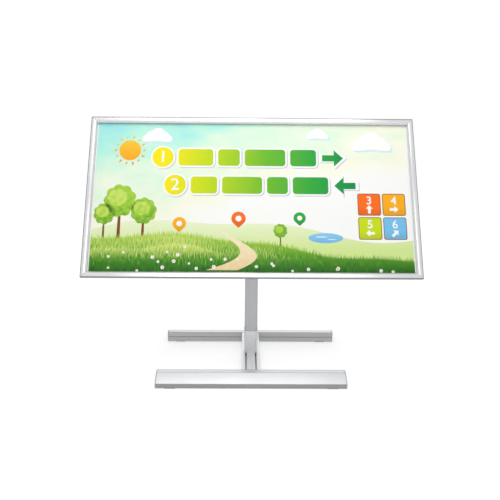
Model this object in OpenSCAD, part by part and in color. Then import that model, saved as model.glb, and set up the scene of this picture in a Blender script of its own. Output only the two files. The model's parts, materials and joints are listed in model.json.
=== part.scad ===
// Floor standing directory sign: a wide snap frame panel, tilted back on one post,
// on an H base of two sloped feet joined by a slotted beam.
// X runs to the right, -Y is the front, Z is up. The origin is on the floor under the post.

/* [Panel] */
// Width of the panel over the frame
panel_w = 1200; // [800:10:1600]
// Height of the panel over the frame
panel_h = 610; // [450:10:800]
// Tilt of the panel back from upright, in degrees
panel_tilt = 31.5; // [0:0.5:70]
// Largest tilt that the slot in the head allows, in degrees
tilt_max = 75; // [70:1:80]
// Height of the tilt pivot over the floor
pivot_z = 660; // [560:5:900]

/* [Frame bars] */
// Face width of a frame bar
bar_w = 22; // [20:0.5:30]
// Depth of a frame bar with its cover closed
bar_d = 18; // [17:0.5:22]
// Wall of the fixed frame profile
profile_t = 1.6; // [1.2:0.1:2]
// Wall of the snap cover
cover_t = 1.6; // [1.2:0.1:1.8]
// Width of the bevel along the cover's inner edge
bevel_w = 5; // [3:0.5:6]
// Rise of the cover's face between its edges
crown = 0.6; // [0:0.1:1]
// Radius of the bead that the cover turns on
bead_r = 2; // [1.6:0.1:2.2]
// Wall of the hook that holds the bead
hook_t = 1.3; // [1:0.1:1.5]
// Height of the bead's axis over the frame's back
bead_n = 9.5; // [9:0.1:10.5]
// Thickness of the neck between the bead and the cover's face
neck_t = 1.6; // [1.2:0.1:1.8]
// Distance of the stop rib from the frame's outer edge
rib_a = 11.6; // [11:0.1:13]
// Height of the stop rib over the frame's back
rib_h = 8; // [7:0.5:9]

/* [Panel layers] */
// Thickness of the back panel
back_t = 3; // [2:0.5:4]
// Thickness of the poster
poster_t = 0.3; // [0.2:0.05:0.5]
// Thickness of the clear cover sheet
sheet_t = 0.8; // [0.5:0.1:1]

/* [Back rails] */
// Height of a back rail
rail_w = 30; // [25:1:40]
// Depth of a back rail
rail_d = 12; // [10:0.5:16]
// Wall of a back rail
rail_t = 1.5; // [1.2:0.1:2]
// Distance between the two back rails' middles
rail_pitch = 200; // [160:5:260]

/* [Tilt bracket] */
// Width of the tilt bracket's plate
bracket_w = 120; // [110:2:160]
// Height of the tilt bracket's plate
bracket_h = 244; // [220:2:280]
// Thickness of the tilt bracket's steel
bracket_t = 3; // [2.5:0.5:4]
// Distance from the pivot to the rear face of the bracket's plate
pivot_gap = 28; // [28:0.5:34]
// Distance from the pivot to the lock stud
lock_reach = 32; // [30:0.5:36]

/* [Post] */
// Width of the square post
post_w = 50; // [40:1:50]
// Wall of the post
post_t = 2.5; // [2:0.5:3]
// Corner radius of the post
post_r = 8; // [4:0.5:10]
// Wall of the socket round the post's foot
socket_t = 2.6; // [2:0.2:4]
// Height of the socket over the beam
socket_h = 95; // [70:5:140]

/* [Base] */
// Length of a foot with its end caps
foot_len = 710; // [600:10:900]
// Depth of a foot from its inner face to its toe
foot_d = 64.5; // [60:0.5:80]
// Height of the base over the floor
foot_h = 44.5; // [42:0.5:50]
// Height of the toe over the floor
toe_h = 20; // [14:0.5:24]
// Width of the flat along the foot's top
foot_flat = 24; // [20:0.5:30]
// Wall of the foot profile
foot_t = 2.4; // [2:0.1:3]
// Depth of the whole base from toe to toe
base_d = 446; // [400:2:600]
// Width of the beam between the feet
beam_w = 72; // [68:1:90]
// Height of the beam's own profile
beam_h = 33; // [31:0.5:34]
// Wall of the beam
beam_t = 2.5; // [2:0.1:3]
// Distance of each slot in the beam from its middle
slot_x = 19; // [17:0.5:20]
// Width of a slot's mouth
slot_mouth = 6; // [5.6:0.1:6.5]

/* [Hidden] */
$fn = 48;

// Overrun of every cut past the face that it opens
cut = 1;
// Gap between a moving piece and what it passes
run_gap = 0.3;
// Radial play of a shaft that turns in a bore
turn_fit = 0.05;
// Radial play of a screw in its own hole
screw_fit = 0.1;
// Play of a piece that slides into another
slide_fit = 0.2;
// Steps in one rounded corner of an outline
corner_steps = 6;

// Radii, head radii and head heights of the screws
m4_r = 2;
m5_r = 2.5;
m5_head_r = 4.6;
m5_head_h = 2.8;
m6_r = 3;
m6_head_r = 5.4;
m6_head_h = 3.4;
m8_r = 4;
m8_head_r = 6.8;
m8_head_h = 4.6;
m10_r = 5;
m10_head_af = 17;
m10_head_h = 6.4;
m10_nut_h = 9;
m10_tail = 3;
hex_key_share = 0.55;
hex_key_depth_share = 0.6;
hex_corners = 6;
countersink_h = 2.6;

// Foot details
cap_t = 4;
cap_plug = 9;
pad_t = 2;
pad_len = 40;
pad_w = 9;
pad_inset = 34;
foot_lip = 12;
reed_w = 1.6;
reed_depth = 0.7;
reed_edge = 3;
foot_groove_w = 3.6;
foot_groove_depth = 1.4;
foot_top_r = 1.2;
foot_bend_r = 3;
toe_r = 2.2;
sole_r = 0.8;

// Beam details
beam_edge_r = 4;
beam_sole_r = 1.5;
slot_lip = 2.5;
slot_room_w = 12.6;
slot_room_h = 6;
slot_wall = 1.8;
port_x = 27.5;
port_wall = 3;
slot_nut_len = 46;
slot_nut_w = 11.8;
slot_nut_h = 4;
beam_washer_r = 8;
beam_washer_t = 1.6;
beam_screw_len = 26;

// Socket details
socket_floor = 8;
socket_step = 1;
socket_step_h = 3;
socket_boss_w = 20;
socket_boss_h = 64;
socket_boss_t = 6;
socket_screw_y = 14;
clamp_screw_shares = [0.35, 0.8];

// Head details
head_cap_w = 52;
head_cap_t = 6;
head_rise = 48;
head_spigot = 40;
head_screw_shares = [0.3, 0.7];
head_screw_len = 12;
cheek_in = 13;
cheek_out = 20;
cheek_boss_r = 15;
cheek_base_front = 22;
cheek_base_rear = 24;
quadrant_top = 12;
slot_margin = 5;
slot_over = 1.5;
sleeve_r = 8.5;

// Bracket details
bracket_r = 10;
ear_root = 34;
ear_waist = 17;
ear_end = 10;
ear_round = 8;
bracket_screw_x = 45;
bracket_window = [44, 56];
bracket_window_r = 8;
bracket_window_z = 72;

// Lock details
lock_washer_r = 9;
lock_washer_t = 1.6;
stud_head_r = 8.5;
stud_head_h = 4.5;
knob_r = 16;
knob_h = 13;
knob_hub_r = 9;
knob_hub_h = 6;
knob_edge = 1.6;
knob_lobes = 6;
knob_scoop_r = 5.4;
knob_scoop_at = 18.8;
insert_r = 6.5;
insert_len = 14;
insert_fit = 0.02;
stud_tip_gap = 1;

// Pivot details
pivot_washer_r = 10;
pivot_washer_t = 2;

// Rail details
rail_inset = 1.5;
plug_t = 2;
plug_depth = 8;
rail_screw_a = 8;
rail_screw_share = 0.27;
rail_screw_tip = 2;

// Frame details
mitre_gap = 0.3;
skirt_rise = 4.1;
skirt_in = 0.3;
cover_edge_r = 1.4;
cover_bend_r = 1;
cover_tip_r = 0.3;
crest_steps = 6;
neck_angle = 55;
hook_from = 180;
hook_to = 385;
layer_gap = 0.2;
rib_t = 1.4;
key_leg = 42;
key_t = 3;
key_fit = 0.2;
key_screw_shares = [0.4, 0.8];
spring_w = 14;
spring_t = 0.5;
spring_reach = 5.6;
spring_foot = 1;
long_spring_shares = [-0.36, -0.12, 0.12, 0.36];
short_spring_shares = [-0.3, 0.3];

// Places that follow from the sizes above
foot_in_y = base_d / 2 - foot_d;
beam_len = 2 * foot_in_y;
beam_z = foot_h - beam_h;
port_z = beam_z + beam_t + port_wall + m8_r;
socket_in = post_w / 2 + slide_fit;
socket_out = socket_in + socket_t;
post_z = foot_h + socket_floor;
post_top = pivot_z - head_rise - head_cap_t;
frame_back_y = -(pivot_gap + bracket_t + rail_d);
hook_r = bead_r + turn_fit + hook_t;
bead_at = [hook_r, bead_n];
stack_a = rib_a + rib_t + layer_gap;
ear_in = cheek_out + run_gap;
ear_out = ear_in + bracket_t;
stud_slot_r = m8_r + screw_fit + slide_fit;
lip_n = profile_t + back_t + poster_t + sheet_t + run_gap;

// Outline with its corners rounded: each corner has a point and a radius
function unit(v) = v / norm(v);
function corner_arc(before, at, after, r) =
    r == 0 ? [at] :
    let (
        a = unit(before - at),
        b = unit(after - at),
        half = acos(a * b) / 2,
        centre = at + unit(a + b) * r / sin(half),
        from = at + a * r / tan(half) - centre,
        to = at + b * r / tan(half) - centre,
        turn = 180 - 2 * half
    )
    [for (i = [0:corner_steps])
        centre + (from * sin(turn * (1 - i / corner_steps)) + to * sin(turn * i / corner_steps)) / sin(turn)];
function rounded(points, radii) =
    let (n = len(points))
    [for (i = [0:n - 1])
        each corner_arc(points[(i + n - 1) % n], points[i], points[(i + 1) % n], radii[i])];

// Outline drawn in by a wall, for a convex outline
function drawn_in(points, wall) =
    let (n = len(points))
    [for (i = [0:n - 1])
        let (
            a = unit(points[(i + n - 1) % n] - points[i]),
            b = unit(points[(i + 1) % n] - points[i]),
            half = acos(a * b) / 2
        )
        points[i] + unit(a + b) * wall / sin(half)];

// Rectangle about the origin, for rounded()
function box_points(w, h) = [[-w / 2, -h / 2], [w / 2, -h / 2], [w / 2, h / 2], [-w / 2, h / 2]];
function same(r, n) = [for (i = [1:n]) r];
function polar(r, angle) = [r * cos(angle), r * sin(angle)];

module rounded_box(w, h, r) {
    polygon(rounded(box_points(w, h), same(r, 4)));
}

// Section in Y and Z, drawn along X about the middle
module along_x(length) {
    translate([-length / 2, 0, 0]) rotate([90, 0, 90]) linear_extrude(length) children();
}

// Section in X and Z, drawn along Y from y0 to y1
module along_y(y0, y1) {
    translate([0, y1, 0]) rotate([90, 0, 0]) linear_extrude(y1 - y0) children();
}

// Children in the panel's own frame: the pivot is the origin and -Y is the panel's front
module on_panel() {
    translate([0, 0, pivot_z]) rotate([-panel_tilt, 0, 0]) children();
}

// Child on the front, and again on the rear
module front_and_rear() {
    children();
    rotate([0, 0, 180]) children();
}

module left_and_right() {
    children();
    mirror([1, 0, 0]) children();
}

module top_and_bottom() {
    children();
    mirror([0, 0, 1]) children();
}

// Screw along +Z: the head sits under z = 0 and the shank rises from it
module hex_socket_screw(r, length, head_r, head_h) {
    difference() {
        union() {
            cylinder(r = r, h = length);
            translate([0, 0, -head_h]) cylinder(r = head_r, h = head_h);
        }
        translate([0, 0, -head_h - cut])
            cylinder(r = r * 2 * hex_key_share, h = head_h * hex_key_depth_share + cut, $fn = hex_corners);
    }
}

module ring(r_in, r_out, h) {
    difference() {
        cylinder(r = r_out, h = h);
        translate([0, 0, -cut]) cylinder(r = r_in, h = h + 2 * cut);
    }
}

// The foot's outline: the inner face is at 0 and the toe at foot_d
foot_points = [[0, pad_t], [foot_d, pad_t], [foot_d, toe_h], [foot_flat, foot_h], [0, foot_h]];
foot_radii = [sole_r, sole_r, toe_r, foot_bend_r, foot_top_r];

module foot_outline() {
    polygon(rounded(foot_points, foot_radii));
}

module foot_section() {
    mid_z = (pad_t + foot_h) / 2;
    difference() {
        foot_outline();
        polygon(drawn_in(foot_points, foot_t));
        translate([foot_lip, 0]) square([foot_d - 2 * foot_lip, pad_t + foot_t + cut]);
        translate([-cut, mid_z - foot_groove_w / 2]) square([foot_groove_depth + cut, foot_groove_w]);
        for (s = [reed_edge, foot_flat - reed_edge - reed_w])
            translate([s, foot_h - reed_depth]) square([reed_w, reed_depth + cut]);
        translate([foot_d - reed_depth, (pad_t + toe_h - reed_w) / 2])
            square([reed_depth + cut, reed_w]);
    }
}

// Child drawn with its inner face at 0 and its toe on +X of the sketch, set as the front foot
module front_foot_place(length) {
    translate([0, -foot_in_y, 0]) rotate([0, 0, 180]) along_x(length) children();
}

module foot() {
    color("gainsboro") difference() {
        front_foot_place(foot_len - 2 * cap_t) foot_section();
        left_and_right() translate([port_x, -foot_in_y + cut, port_z])
            rotate([90, 0, 0]) cylinder(r = m8_r + screw_fit, h = foot_t + 2 * cut);
    }
}

module front_foot() {
    foot();
}

module rear_foot() {
    rotate([0, 0, 180]) foot();
}

// End cap on the front foot's left end
module foot_cap() {
    color("silver") {
        translate([-(foot_len - cap_t) / 2, 0, 0]) front_foot_place(cap_t) foot_outline();
        translate([-(foot_len - cap_plug) / 2 + cap_t, 0, 0]) front_foot_place(cap_plug) difference() {
            polygon(drawn_in(foot_points, foot_t + slide_fit));
            polygon(drawn_in(foot_points, 2 * foot_t + slide_fit));
        }
    }
}

module front_foot_cap_left() {
    foot_cap();
}

module front_foot_cap_right() {
    mirror([1, 0, 0]) foot_cap();
}

module rear_foot_cap_left() {
    mirror([0, 1, 0]) foot_cap();
}

module rear_foot_cap_right() {
    rotate([0, 0, 180]) foot_cap();
}

module foot_pads() {
    color("dimgray") front_and_rear() left_and_right()
        for (s = [foot_lip / 2, foot_d - foot_lip / 2])
            translate([foot_len / 2 - pad_inset - pad_len / 2, -foot_in_y - s, pad_t / 2])
                cube([pad_len, pad_w, pad_t], center = true);
}

module beam_section() {
    top = beam_z + beam_h;
    difference() {
        union() {
            difference() {
                translate([0, beam_z + beam_h / 2])
                    polygon(rounded(box_points(beam_w, beam_h),
                        [beam_sole_r, beam_sole_r, beam_edge_r, beam_edge_r]));
                translate([0, beam_z + beam_h / 2])
                    polygon(rounded(box_points(beam_w - 2 * beam_t, beam_h - 2 * beam_t),
                        same(beam_sole_r, 4)));
            }
            left_and_right() {
                translate([slot_x - slot_room_w / 2 - slot_wall, top - slot_lip - slot_room_h - slot_wall])
                    square([slot_room_w + 2 * slot_wall, slot_room_h + slot_wall + slot_lip - beam_t / 2]);
                translate([port_x - m8_r, beam_z + beam_t / 2])
                    square([beam_w / 2 - port_x + m8_r - beam_t / 2, port_z - beam_z - beam_t / 2]);
                translate([port_x, port_z]) circle(r = m8_r + port_wall);
            }
        }
        left_and_right() {
            translate([slot_x - slot_mouth / 2, top - slot_lip - cut])
                square([slot_mouth, slot_lip + 2 * cut]);
            translate([slot_x - slot_room_w / 2, top - slot_lip - slot_room_h])
                square([slot_room_w, slot_room_h]);
            translate([port_x, port_z]) circle(r = m8_r + turn_fit);
        }
    }
}

module base_beam() {
    color("lightgray") translate([0, -foot_in_y, 0]) mirror([0, 1, 0]) rotate([90, 0, 0])
        linear_extrude(beam_len) beam_section();
}

// Places on the front foot's inner wall where a screw enters the beam
module beam_screw_places() {
    front_and_rear() left_and_right()
        translate([port_x, -foot_in_y - foot_t, port_z]) rotate([-90, 0, 0]) children();
}

module beam_screws() {
    color("darkgray") beam_screw_places() translate([0, 0, -beam_washer_t])
        hex_socket_screw(m8_r, beam_screw_len, m8_head_r, m8_head_h);
}

module beam_washers() {
    color("silver") beam_screw_places() translate([0, 0, -beam_washer_t])
        ring(m8_r + screw_fit, beam_washer_r, beam_washer_t);
}

// Places of the four screws that hold the socket on the beam
module socket_screw_places() {
    for (x = [-slot_x, slot_x], y = [-socket_screw_y, socket_screw_y])
        translate([x, y, foot_h]) children();
}

module slot_nuts() {
    color("darkgray") difference() {
        for (x = [-slot_x, slot_x])
            translate([x, 0, foot_h - slot_lip - slot_nut_h / 2])
                cube([slot_nut_w, slot_nut_len, slot_nut_h], center = true);
        socket_screw_places() translate([0, 0, -slot_lip - slot_nut_h - cut])
            cylinder(r = m5_r + turn_fit, h = slot_nut_h + 2 * cut);
    }
}

module socket_screws() {
    color("darkgray") socket_screw_places() difference() {
        union() {
            translate([0, 0, -slot_lip - slot_nut_h])
                cylinder(r = m5_r, h = slot_lip + slot_nut_h + socket_floor);
            translate([0, 0, socket_floor - countersink_h])
                cylinder(r1 = m5_r, r2 = m5_r + countersink_h, h = countersink_h);
        }
        translate([0, 0, socket_floor * hex_key_depth_share])
            cylinder(r = m5_r * hex_key_share, h = socket_floor, $fn = hex_corners);
    }
}

// Heights of the screws that clamp the post, along the rear of the socket
module clamp_screw_places() {
    for (share = clamp_screw_shares)
        translate([0, socket_out + socket_boss_t, foot_h + socket_floor + (socket_h - socket_floor) * share])
            rotate([90, 0, 0]) children();
}

module post_socket() {
    socket_w = 2 * socket_out;
    top_w = socket_w - 2 * socket_step;
    sink_r = m5_r + screw_fit;
    color("silver") difference() {
        union() {
            translate([0, 0, foot_h]) linear_extrude(socket_h - socket_step_h)
                rounded_box(socket_w, socket_w, post_r + socket_t);
            translate([0, 0, foot_h]) linear_extrude(socket_h)
                rounded_box(top_w, top_w, post_r + socket_t - socket_step);
            translate([-socket_boss_w / 2, socket_in + socket_t / 2, foot_h + (socket_h - socket_boss_h) / 2])
                cube([socket_boss_w, socket_t / 2 + socket_boss_t, socket_boss_h]);
        }
        translate([0, 0, post_z]) linear_extrude(socket_h)
            rounded_box(2 * socket_in, 2 * socket_in, post_r + slide_fit);
        socket_screw_places() {
            translate([0, 0, -cut]) cylinder(r = sink_r, h = socket_floor + 2 * cut);
            translate([0, 0, socket_floor - countersink_h])
                cylinder(r1 = sink_r, r2 = sink_r + countersink_h + cut, h = countersink_h + cut);
        }
        clamp_screw_places() translate([0, 0, -cut])
            cylinder(r = m8_r + screw_fit, h = socket_boss_t + socket_t + 2 * cut);
    }
}

module post_clamp_screws() {
    color("darkgray") clamp_screw_places()
        hex_socket_screw(m8_r, socket_boss_t + socket_t + slide_fit, m8_head_r, m8_head_h);
}

// Places of the screws through the post into the head's spigot, on both sides
module head_screw_places() {
    left_and_right() for (share = head_screw_shares)
        translate([post_w / 2, 0, post_top - head_spigot * share]) rotate([0, -90, 0]) children();
}

module post() {
    inner_w = post_w - 2 * post_t;
    color("silver") difference() {
        translate([0, 0, post_z]) linear_extrude(post_top - post_z) difference() {
            rounded_box(post_w, post_w, post_r);
            rounded_box(inner_w, inner_w, post_r - post_t);
        }
        head_screw_places() translate([0, 0, -cut]) cylinder(r = m6_r + screw_fit, h = post_t + 2 * cut);
    }
}

// Arc slot for the lock stud, in Y and Z about the pivot
module stud_slot() {
    low = -tilt_max - slot_over;
    high = slot_over;
    far = 2 * lock_reach;
    intersection() {
        difference() {
            circle(r = lock_reach + stud_slot_r);
            circle(r = lock_reach - stud_slot_r);
        }
        polygon([[0, 0], polar(far, low), polar(far, (low + high) / 2), polar(far, high)]);
    }
    for (angle = [low, high]) translate(polar(lock_reach, angle)) circle(r = stud_slot_r);
}

module cheek_section() {
    quadrant_r = lock_reach + stud_slot_r + slot_margin;
    difference() {
        union() {
            circle(r = cheek_boss_r);
            polygon([[-cheek_base_front, -head_rise], [cheek_base_rear, -head_rise],
                [cheek_base_rear, -quadrant_top], [-cheek_boss_r + slot_over, 0]]);
            intersection() {
                circle(r = quadrant_r);
                translate([0, -head_rise]) square([quadrant_r + cut, head_rise + quadrant_top]);
            }
        }
        circle(r = m10_r + turn_fit);
        stud_slot();
    }
}

module post_head() {
    spigot_w = post_w - 2 * post_t - 2 * slide_fit;
    color("silver") difference() {
        union() {
            translate([0, 0, post_top]) linear_extrude(head_cap_t)
                rounded_box(head_cap_w, head_cap_w, post_r + (head_cap_w - post_w) / 2);
            translate([0, 0, post_top - head_spigot]) linear_extrude(head_spigot)
                rounded_box(spigot_w, spigot_w, post_r - post_t);
            left_and_right() translate([(cheek_in + cheek_out) / 2, 0, pivot_z])
                along_x(cheek_out - cheek_in) cheek_section();
        }
        head_screw_places() cylinder(r = m6_r + turn_fit, h = head_screw_len + cut);
    }
}

module head_screws() {
    color("darkgray") head_screw_places() hex_socket_screw(m6_r, head_screw_len, m6_head_r, m6_head_h);
}

// Children turned so that their Z runs along +X, at the pivot
module on_pivot() {
    translate([0, 0, pivot_z]) rotate([0, 90, 0]) children();
}

module pivot_bolt() {
    outer = ear_out + pivot_washer_t;
    color("darkgray") on_pivot() {
        translate([0, 0, -outer]) cylinder(r = m10_r, h = 2 * outer + m10_nut_h + m10_tail);
        translate([0, 0, -outer - m10_head_h])
            cylinder(d = m10_head_af / cos(180 / hex_corners), h = m10_head_h, $fn = hex_corners);
    }
}

module pivot_nut() {
    color("darkgray") on_pivot() translate([0, 0, ear_out + pivot_washer_t]) difference() {
        cylinder(d = m10_head_af / cos(180 / hex_corners), h = m10_nut_h, $fn = hex_corners);
        translate([0, 0, -cut]) cylinder(r = m10_r + turn_fit, h = m10_nut_h + 2 * cut);
    }
}

module pivot_washers() {
    color("silver") on_pivot() for (z = [-ear_out - pivot_washer_t, ear_out])
        translate([0, 0, z]) ring(m10_r + screw_fit, pivot_washer_r, pivot_washer_t);
}

module pivot_sleeve() {
    color("silver") on_pivot() translate([0, 0, -cheek_in]) ring(m10_r + screw_fit, sleeve_r, 2 * cheek_in);
}

// Ear of the bracket, in Y and Z about the pivot
module ear_section() {
    end_y = lock_reach + ear_end;
    front_y = -pivot_gap - bracket_t;
    points = [[front_y, -ear_root], [-pivot_gap, -ear_root], [0, -ear_waist], [end_y, -ear_end],
        [end_y, ear_end], [0, ear_waist], [-pivot_gap, ear_root], [front_y, ear_root]];
    difference() {
        polygon(rounded(points, [0, 0, ear_round, ear_round, ear_round, ear_round, 0, 0]));
        circle(r = m10_r + turn_fit);
        translate([lock_reach, 0]) circle(r = m8_r + screw_fit);
    }
}

// Places of the screws through the bracket's plate into the rails, in the panel's frame
module bracket_screw_places() {
    for (x = [-bracket_screw_x, bracket_screw_x], z = [-rail_pitch / 2, rail_pitch / 2])
        translate([x, -pivot_gap, z]) rotate([90, 0, 0]) children();
}

module tilt_bracket() {
    color("silver") on_panel() difference() {
        union() {
            along_y(-pivot_gap - bracket_t, -pivot_gap) difference() {
                rounded_box(bracket_w, bracket_h, bracket_r);
                for (z = [-bracket_window_z, bracket_window_z])
                    translate([0, z]) rounded_box(bracket_window[0], bracket_window[1], bracket_window_r);
            }
            left_and_right() translate([(ear_in + ear_out) / 2, 0, 0]) along_x(bracket_t) ear_section();
        }
        bracket_screw_places() translate([0, 0, -cut])
            cylinder(r = m6_r + screw_fit, h = bracket_t + 2 * cut);
    }
}

module bracket_screws() {
    color("darkgray") on_panel() bracket_screw_places()
        hex_socket_screw(m6_r, bracket_t + rail_d, m6_head_r, m6_head_h);
}

// Children turned so that their Z runs along +X, at the lock stud
module on_stud() {
    on_panel() translate([0, lock_reach, 0]) rotate([0, 90, 0]) children();
}

module lock_stud() {
    color("darkgray") on_stud() {
        translate([0, 0, -ear_out])
            cylinder(r = m8_r, h = 2 * ear_out + lock_washer_t + insert_len - stud_tip_gap);
        translate([0, 0, -ear_out - stud_head_h]) cylinder(r = stud_head_r, h = stud_head_h);
    }
}

module lock_washer() {
    color("silver") on_stud() translate([0, 0, ear_out]) ring(m8_r + screw_fit, lock_washer_r, lock_washer_t);
}

// Knob from its hub at z = 0 outwards
module lock_knob() {
    top = knob_hub_h + knob_h;
    color("black") on_stud() translate([0, 0, ear_out + lock_washer_t]) difference() {
        rotate_extrude() polygon([[0, 0], [knob_hub_r, 0], [knob_hub_r, knob_hub_h],
            [knob_r - knob_edge, knob_hub_h], [knob_r, knob_hub_h + knob_edge],
            [knob_r, top - knob_edge], [knob_r - knob_edge, top], [0, top]]);
        for (i = [1:knob_lobes]) rotate([0, 0, i * 360 / knob_lobes])
            translate([knob_scoop_at, 0, knob_hub_h - cut]) cylinder(r = knob_scoop_r, h = knob_h + 2 * cut);
        translate([0, 0, -cut]) cylinder(r = insert_r, h = insert_len + cut);
    }
}

module lock_knob_insert() {
    color("goldenrod") on_stud() translate([0, 0, ear_out + lock_washer_t])
        ring(m8_r + turn_fit, insert_r - insert_fit, insert_len);
}

rail_len = panel_w - 2 * rail_inset;

// Rail about its own middle, with its front face at the frame's back
module back_rail(z) {
    color("silver") on_panel() difference() {
        translate([0, frame_back_y + rail_d / 2, z]) along_x(rail_len - 2 * plug_t) difference() {
            square([rail_d, rail_w], center = true);
            square([rail_d - 2 * rail_t, rail_w - 2 * rail_t], center = true);
        }
        rail_screw_places() translate([0, 0, -cut]) cylinder(r = m5_r + screw_fit, h = rail_d + 2 * cut);
        bracket_screw_places() cylinder(r = m6_r + turn_fit, h = bracket_t + rail_d + cut);
    }
}

module back_rail_upper() {
    back_rail(rail_pitch / 2);
}

module back_rail_lower() {
    back_rail(-rail_pitch / 2);
}

// Plug in one rail end, right side
module rail_plug(z) {
    inner = [plug_depth, rail_d - 2 * (rail_t + slide_fit), rail_w - 2 * (rail_t + slide_fit)];
    translate([rail_len / 2 - plug_t / 2, frame_back_y + rail_d / 2, z]) {
        cube([plug_t, rail_d, rail_w], center = true);
        translate([-(plug_t + plug_depth) / 2, 0, 0]) cube(inner, center = true);
    }
}

module rail_end_plugs() {
    color("dimgray") on_panel() difference() {
        left_and_right() for (z = [-rail_pitch / 2, rail_pitch / 2]) rail_plug(z);
        rail_screw_places() translate([0, 0, -cut]) cylinder(r = m5_r + screw_fit, h = rail_d + 2 * cut);
    }
}

// Places of the screws through the rails' ends into the side profiles
module rail_screw_places() {
    for (x = [-1, 1] * (panel_w / 2 - rail_screw_a), side = [-1, 1], step = [-1, 1])
        translate([x, frame_back_y + rail_d, side * rail_pitch / 2 + step * rail_w * rail_screw_share])
            rotate([90, 0, 0]) children();
}

module rail_screws() {
    color("darkgray") on_panel() rail_screw_places()
        hex_socket_screw(m5_r, rail_d + profile_t + rail_screw_tip, m5_head_r, m5_head_h);
}

// Flat sheet inside the frame, between two depths over the frame's back
module layer(n0, n1) {
    on_panel() along_y(frame_back_y - n1, frame_back_y - n0)
        square([panel_w - 2 * stack_a, panel_h - 2 * stack_a], center = true);
}

module back_panel() {
    color("whitesmoke") layer(profile_t, profile_t + back_t);
}

module poster_sheet() {
    color("honeydew") layer(profile_t + back_t, profile_t + back_t + poster_t);
}

module clear_cover_sheet() {
    color("aliceblue", 0.4) layer(profile_t + back_t + poster_t, profile_t + back_t + poster_t + sheet_t);
}

// Section of the fixed profile: inwards from the outer edge, and forwards from the back
module profile_section() {
    far = 2 * hook_r;
    difference() {
        union() {
            square([bar_w, profile_t]);
            square([profile_t, bead_n]);
            translate([rib_a, 0]) square([rib_t, rib_h]);
            translate(bead_at) circle(r = hook_r);
        }
        translate(bead_at) {
            circle(r = bead_r + turn_fit);
            polygon([[0, 0], polar(far, hook_to - 360), polar(far, (hook_from + hook_to - 360) / 2),
                polar(far, hook_from)]);
        }
    }
}

// The cover's face: edge to edge with a slight crown, then the bevel and the lip
crest_w = bar_w - bevel_w;
function crest(share) = [skirt_in + (crest_w - skirt_in) * share, bar_d - crown * pow(2 * share - 1, 2)];

// Point on one side of the neck: side is 1 towards the panel's middle and -1 towards its edge
function neck_foot(side) = bead_at + polar(side * neck_t / 2, neck_angle - 90);
function neck_point(side, n) =
    neck_foot(side) + polar((n - neck_foot(side)[1]) / sin(neck_angle), neck_angle);
module cover_section() {
    skirt_n = bead_n + skirt_rise;
    edge_n = bar_d - crown;
    under_n = edge_n - cover_t;
    skirt = [[[skirt_in, edge_n], cover_edge_r], [[skirt_in, skirt_n], cover_tip_r],
        [[skirt_in + cover_t, skirt_n], cover_tip_r], [[skirt_in + cover_t, under_n], 0]];
    neck = [[neck_point(-1, under_n), 0], [neck_foot(-1), 0], [neck_foot(1), 0], [neck_point(1, under_n), 0]];
    lip = [[[crest_w - cover_t / 2, under_n], 0], [[bar_w - cover_t, edge_n - bevel_w - cover_t / 2], 0],
        [[bar_w - cover_t, lip_n], cover_tip_r], [[bar_w, lip_n], cover_tip_r],
        [[bar_w, edge_n - bevel_w], cover_bend_r], [[crest_w, edge_n], cover_bend_r]];
    face = [for (i = [crest_steps - 1:-1:1]) [crest(i / crest_steps), 0]];
    outline = concat(skirt, neck, lip, face);
    polygon(rounded([for (p = outline) p[0]], [for (p = outline) p[1]]));
}

// A bar's section drawn along its side, lying on the panel's lower edge, with mitred ends
module bar(length, end_gap) {
    half = length / 2 - end_gap;
    over = bar_w + cut;
    intersection() {
        translate([-length / 2, 0, 0]) on_edge(length) children();
        along_y(-2 * bar_d, cut)
            polygon([[-half, 0], [half, 0], [half - over, over], [-half + over, over]]);
    }
}

// Section of a bar, drawn along +X from 0
module on_edge(length) {
    rotate([180, 0, 0]) rotate([0, 90, 0]) linear_extrude(length) children();
}

// The four sides, counted from the bottom to the right, the top and the left
function side_len(side) = side % 2 == 0 ? panel_w : panel_h;
function side_reach(side) = side % 2 == 0 ? panel_h / 2 : panel_w / 2;
module on_side(side) {
    on_panel() translate([0, frame_back_y, 0]) rotate([0, -90 * side, 0])
        translate([0, 0, -side_reach(side)]) children();
}

// Holes through a side's back flange, for the rail screws and the corner keys' screws
module profile(side) {
    color("silver") difference() {
        on_side(side) bar(side_len(side), 0) profile_section();
        if (side % 2 == 1) on_panel() rail_screw_places()
            cylinder(r = m5_r + screw_fit, h = rail_d + profile_t + cut);
        on_panel() key_screw_places() translate([0, 0, -cut])
            cylinder(r = m4_r + screw_fit, h = profile_t + 2 * cut);
    }
}

module frame_profile_bottom() {
    profile(0);
}

module frame_profile_right() {
    profile(1);
}

module frame_profile_top() {
    profile(2);
}

module frame_profile_left() {
    profile(3);
}

// Room between the outer wall and the stop rib, where the keys lie
key_a0 = profile_t + key_fit;
key_a1 = rib_a - key_fit;

// Places of the keys' screws, entering from the frame's back
module key_screw_places() {
    mid = (key_a0 + key_a1) / 2;
    left_and_right() top_and_bottom() for (share = key_screw_shares)
        for (place = [[key_leg * share, mid], [mid, key_leg * share]])
            translate([-panel_w / 2 + place[0], frame_back_y, -panel_h / 2 + place[1]])
                rotate([90, 0, 0]) children();
}

module corner_keys() {
    leg_w = key_a1 - key_a0;
    color("silver") on_panel() difference() {
        left_and_right() top_and_bottom()
            along_y(frame_back_y - profile_t - key_t, frame_back_y - profile_t)
                translate([-panel_w / 2 + key_a0, -panel_h / 2 + key_a0]) {
                    square([key_leg, leg_w]);
                    square([leg_w, key_leg]);
                }
        key_screw_places() cylinder(r = m4_r + turn_fit, h = profile_t + key_t + cut);
    }
}

module corner_key_screws() {
    color("darkgray") on_panel() key_screw_places() difference() {
        cylinder(r = m4_r, h = profile_t + key_t);
        translate([0, 0, -cut]) cylinder(r = m4_r * hex_key_share, h = key_t * hex_key_depth_share + cut,
            $fn = hex_corners);
    }
}

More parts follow.
